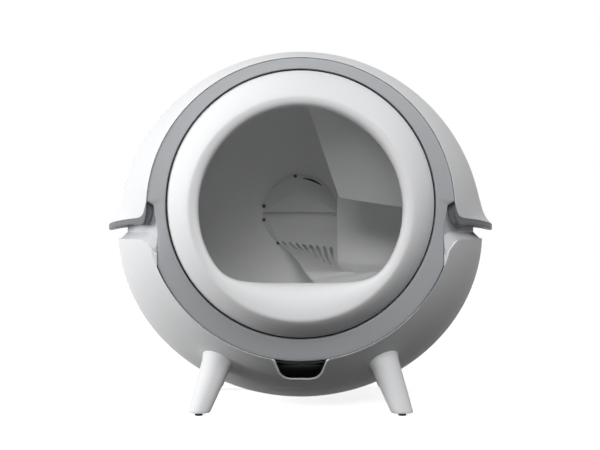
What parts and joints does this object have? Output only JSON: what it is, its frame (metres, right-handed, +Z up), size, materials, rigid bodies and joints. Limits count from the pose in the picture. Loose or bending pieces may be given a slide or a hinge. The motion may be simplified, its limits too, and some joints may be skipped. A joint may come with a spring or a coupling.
{
  "type": "self cleaning litter box",
  "caption": "Round white litter box on splayed legs: a driven globe with a sieve and scoop turns inside a casing with a lift-off hood and a waste drawer below.",
  "frame": {"origin": "on the ground, under the centre of the whole object's box", "axes": "+Z up, front with the entry towards -Y, +X to the right as seen from the front"},
  "size_m": [0.6102, 0.5099, 0.5564],
  "materials": {
    "white_plastic": "satin moulded ABS",
    "grey_plastic": "satin grey ABS",
    "inner_grey_plastic": "matte light grey",
    "black_rubber": "matte",
    "steel": "plain steel",
    "dark_plastic": "matte black",
    "board_green": "solder mask on laminate"
  },
  "bodies": {
    "base": {"lower_shell": "white_plastic", "front_ring": "grey_plastic", "front_seal": "black_rubber", "neck_frame": "grey_plastic", "base_deck": "inner_grey_plastic", "drawer_rail_left": "grey_plastic", "drawer_rail_right": "grey_plastic", "roller_bracket_left": "inner_grey_plastic", "roller_bracket_right": "inner_grey_plastic", "roller_axle_left": "steel", "roller_axle_right": "steel", "rear_bracket": "inner_grey_plastic", "rear_bearing": "dark_plastic", "gearbox": "dark_plastic", "drive_motor": "steel", "control_board": "board_green", "home_sensor": "dark_plastic", "power_inlet": "dark_plastic", "button_switch": "dark_plastic", "leg_front_left": "white_plastic", "leg_front_right": "white_plastic", "leg_rear_left": "white_plastic", "leg_rear_right": "white_plastic", "foot_pad_front_left": "black_rubber", "foot_pad_front_right": "black_rubber", "foot_pad_rear_left": "black_rubber", "foot_pad_rear_right": "black_rubber"},
    "globe": {"globe_shell": "inner_grey_plastic", "globe_shell_front": "inner_grey_plastic", "globe_front": "white_plastic", "hub_plate_upper": "inner_grey_plastic", "hub_plate_lower": "inner_grey_plastic", "hub_screw_1": "steel", "hub_screw_2": "steel", "hub_screw_3": "steel", "hub_screw_4": "steel", "waste_scoop": "inner_grey_plastic", "scoop_roof": "inner_grey_plastic", "globe_gear": "white_plastic", "globe_shaft": "steel", "home_magnet": "steel"},
    "pinion": {"drive_pinion": "steel"},
    "left_roller": {"roller_left": "black_rubber"},
    "right_roller": {"roller_right": "black_rubber"},
    "hood_body": {"hood": "white_plastic", "hood_trim": "grey_plastic"},
    "drawer": {"waste_drawer": "white_plastic"},
    "button": {"power_button": "grey_plastic"}
  },
  "joints": [
    {"name": "globe_spin", "type": "hinge", "parent": "base", "child": "globe", "pos_m": [0, 0, 0.3141], "axis": [0, 1, 0], "continuous": true},
    {"name": "pinion_spin", "type": "hinge", "parent": "base", "child": "pinion", "pos_m": [0, 0.16, 0.2061], "axis": [0, 1, 0], "continuous": true},
    {"name": "left_roller_spin", "type": "hinge", "parent": "base", "child": "left_roller", "pos_m": [-0.12309, -0.18, 0.13831], "axis": [0, 1, 0], "continuous": true},
    {"name": "right_roller_spin", "type": "hinge", "parent": "base", "child": "right_roller", "pos_m": [0.12309, -0.18, 0.13831], "axis": [0, 1, 0], "continuous": true},
    {"name": "hood_lift", "type": "slide", "parent": "base", "child": "hood_body", "axis": [0, 0, 1], "range_m": [0, 0.25]},
    {"name": "drawer_slide", "type": "slide", "parent": "base", "child": "drawer", "axis": [0, -1, 0], "range_m": [0, 0.2]},
    {"name": "button_press", "type": "slide", "parent": "base", "child": "button", "axis": [0, -1, 0], "range_m": [0, 0.0015], "stiffness_N_per_m": 500}
  ],
  "couplings": [
    {"joint": "pinion_spin", "follows": "globe_spin", "ratio": -5},
    {"joint": "left_roller_spin", "follows": "globe_spin", "ratio": -20.43},
    {"joint": "right_roller_spin", "follows": "globe_spin", "ratio": -20.43}
  ]
}
